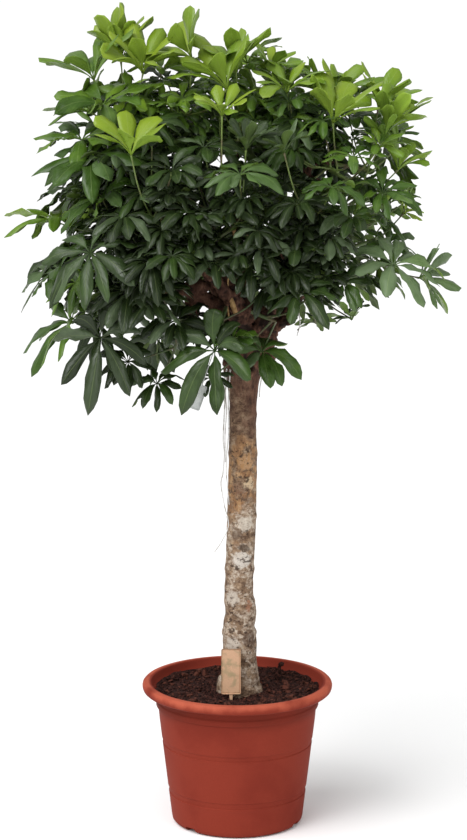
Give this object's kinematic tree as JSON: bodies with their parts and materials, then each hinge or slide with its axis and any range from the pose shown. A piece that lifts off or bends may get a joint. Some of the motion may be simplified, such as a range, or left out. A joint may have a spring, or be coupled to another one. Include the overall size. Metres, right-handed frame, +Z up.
{
  "type": "potted umbrella plant",
  "caption": "Tall umbrella plant with palmate leaves on a woody stem that stands in soil in a terracotta-coloured nursery pot with a wide lip.",
  "frame": {"origin": "centre of the pot's underside, on the floor", "axes": "+Z up along the pot's axis, -Y toward the front of the plant, +X to the right as seen from the front"},
  "size_m": [1.0403, 0.8571, 1.9143],
  "materials": {
    "pot_plastic": "satin",
    "soil": "rough",
    "bark": "rough",
    "label_card": "matte",
    "tag_plastic": "matte",
    "leaf_dark": "satin",
    "leaf_mid": "satin",
    "leaf_fresh": "satin",
    "leaf_young": "satin"
  },
  "bodies": {
    "root": {"pot": "pot_plastic", "soil": "soil", "trunk": "bark", "plant_label": "label_card", "hang_tag": "tag_plastic", "spray_01": "leaf_young", "spray_02": "leaf_young", "spray_03": "leaf_fresh", "spray_04": "leaf_young", "spray_05": "leaf_fresh", "spray_06": "leaf_young", "spray_07": "leaf_fresh", "spray_08": "leaf_fresh", "spray_09": "leaf_young", "spray_10": "leaf_fresh", "spray_11": "leaf_mid", "spray_12": "leaf_young", "spray_13": "leaf_mid", "spray_14": "leaf_mid", "spray_15": "leaf_mid", "spray_16": "leaf_dark", "spray_17": "leaf_fresh", "spray_18": "leaf_dark", "spray_19": "leaf_dark", "spray_20": "leaf_mid", "spray_21": "leaf_mid", "spray_22": "leaf_dark", "spray_23": "leaf_mid", "spray_24": "leaf_dark", "spray_25": "leaf_dark", "spray_26": "leaf_dark", "spray_27": "leaf_dark", "spray_28": "leaf_dark", "spray_29": "leaf_dark", "spray_30": "leaf_fresh", "spray_31": "leaf_fresh", "spray_32": "leaf_fresh", "spray_33": "leaf_fresh", "spray_34": "leaf_fresh", "spray_35": "leaf_mid", "spray_36": "leaf_mid", "spray_37": "leaf_mid", "spray_38": "leaf_mid", "spray_39": "leaf_mid", "spray_40": "leaf_dark", "spray_41": "leaf_dark", "spray_42": "leaf_dark", "spray_43": "leaf_dark", "spray_44": "leaf_dark", "spray_45": "leaf_dark", "spray_46": "leaf_dark", "spray_47": "leaf_dark"}
  },
  "joints": []
}
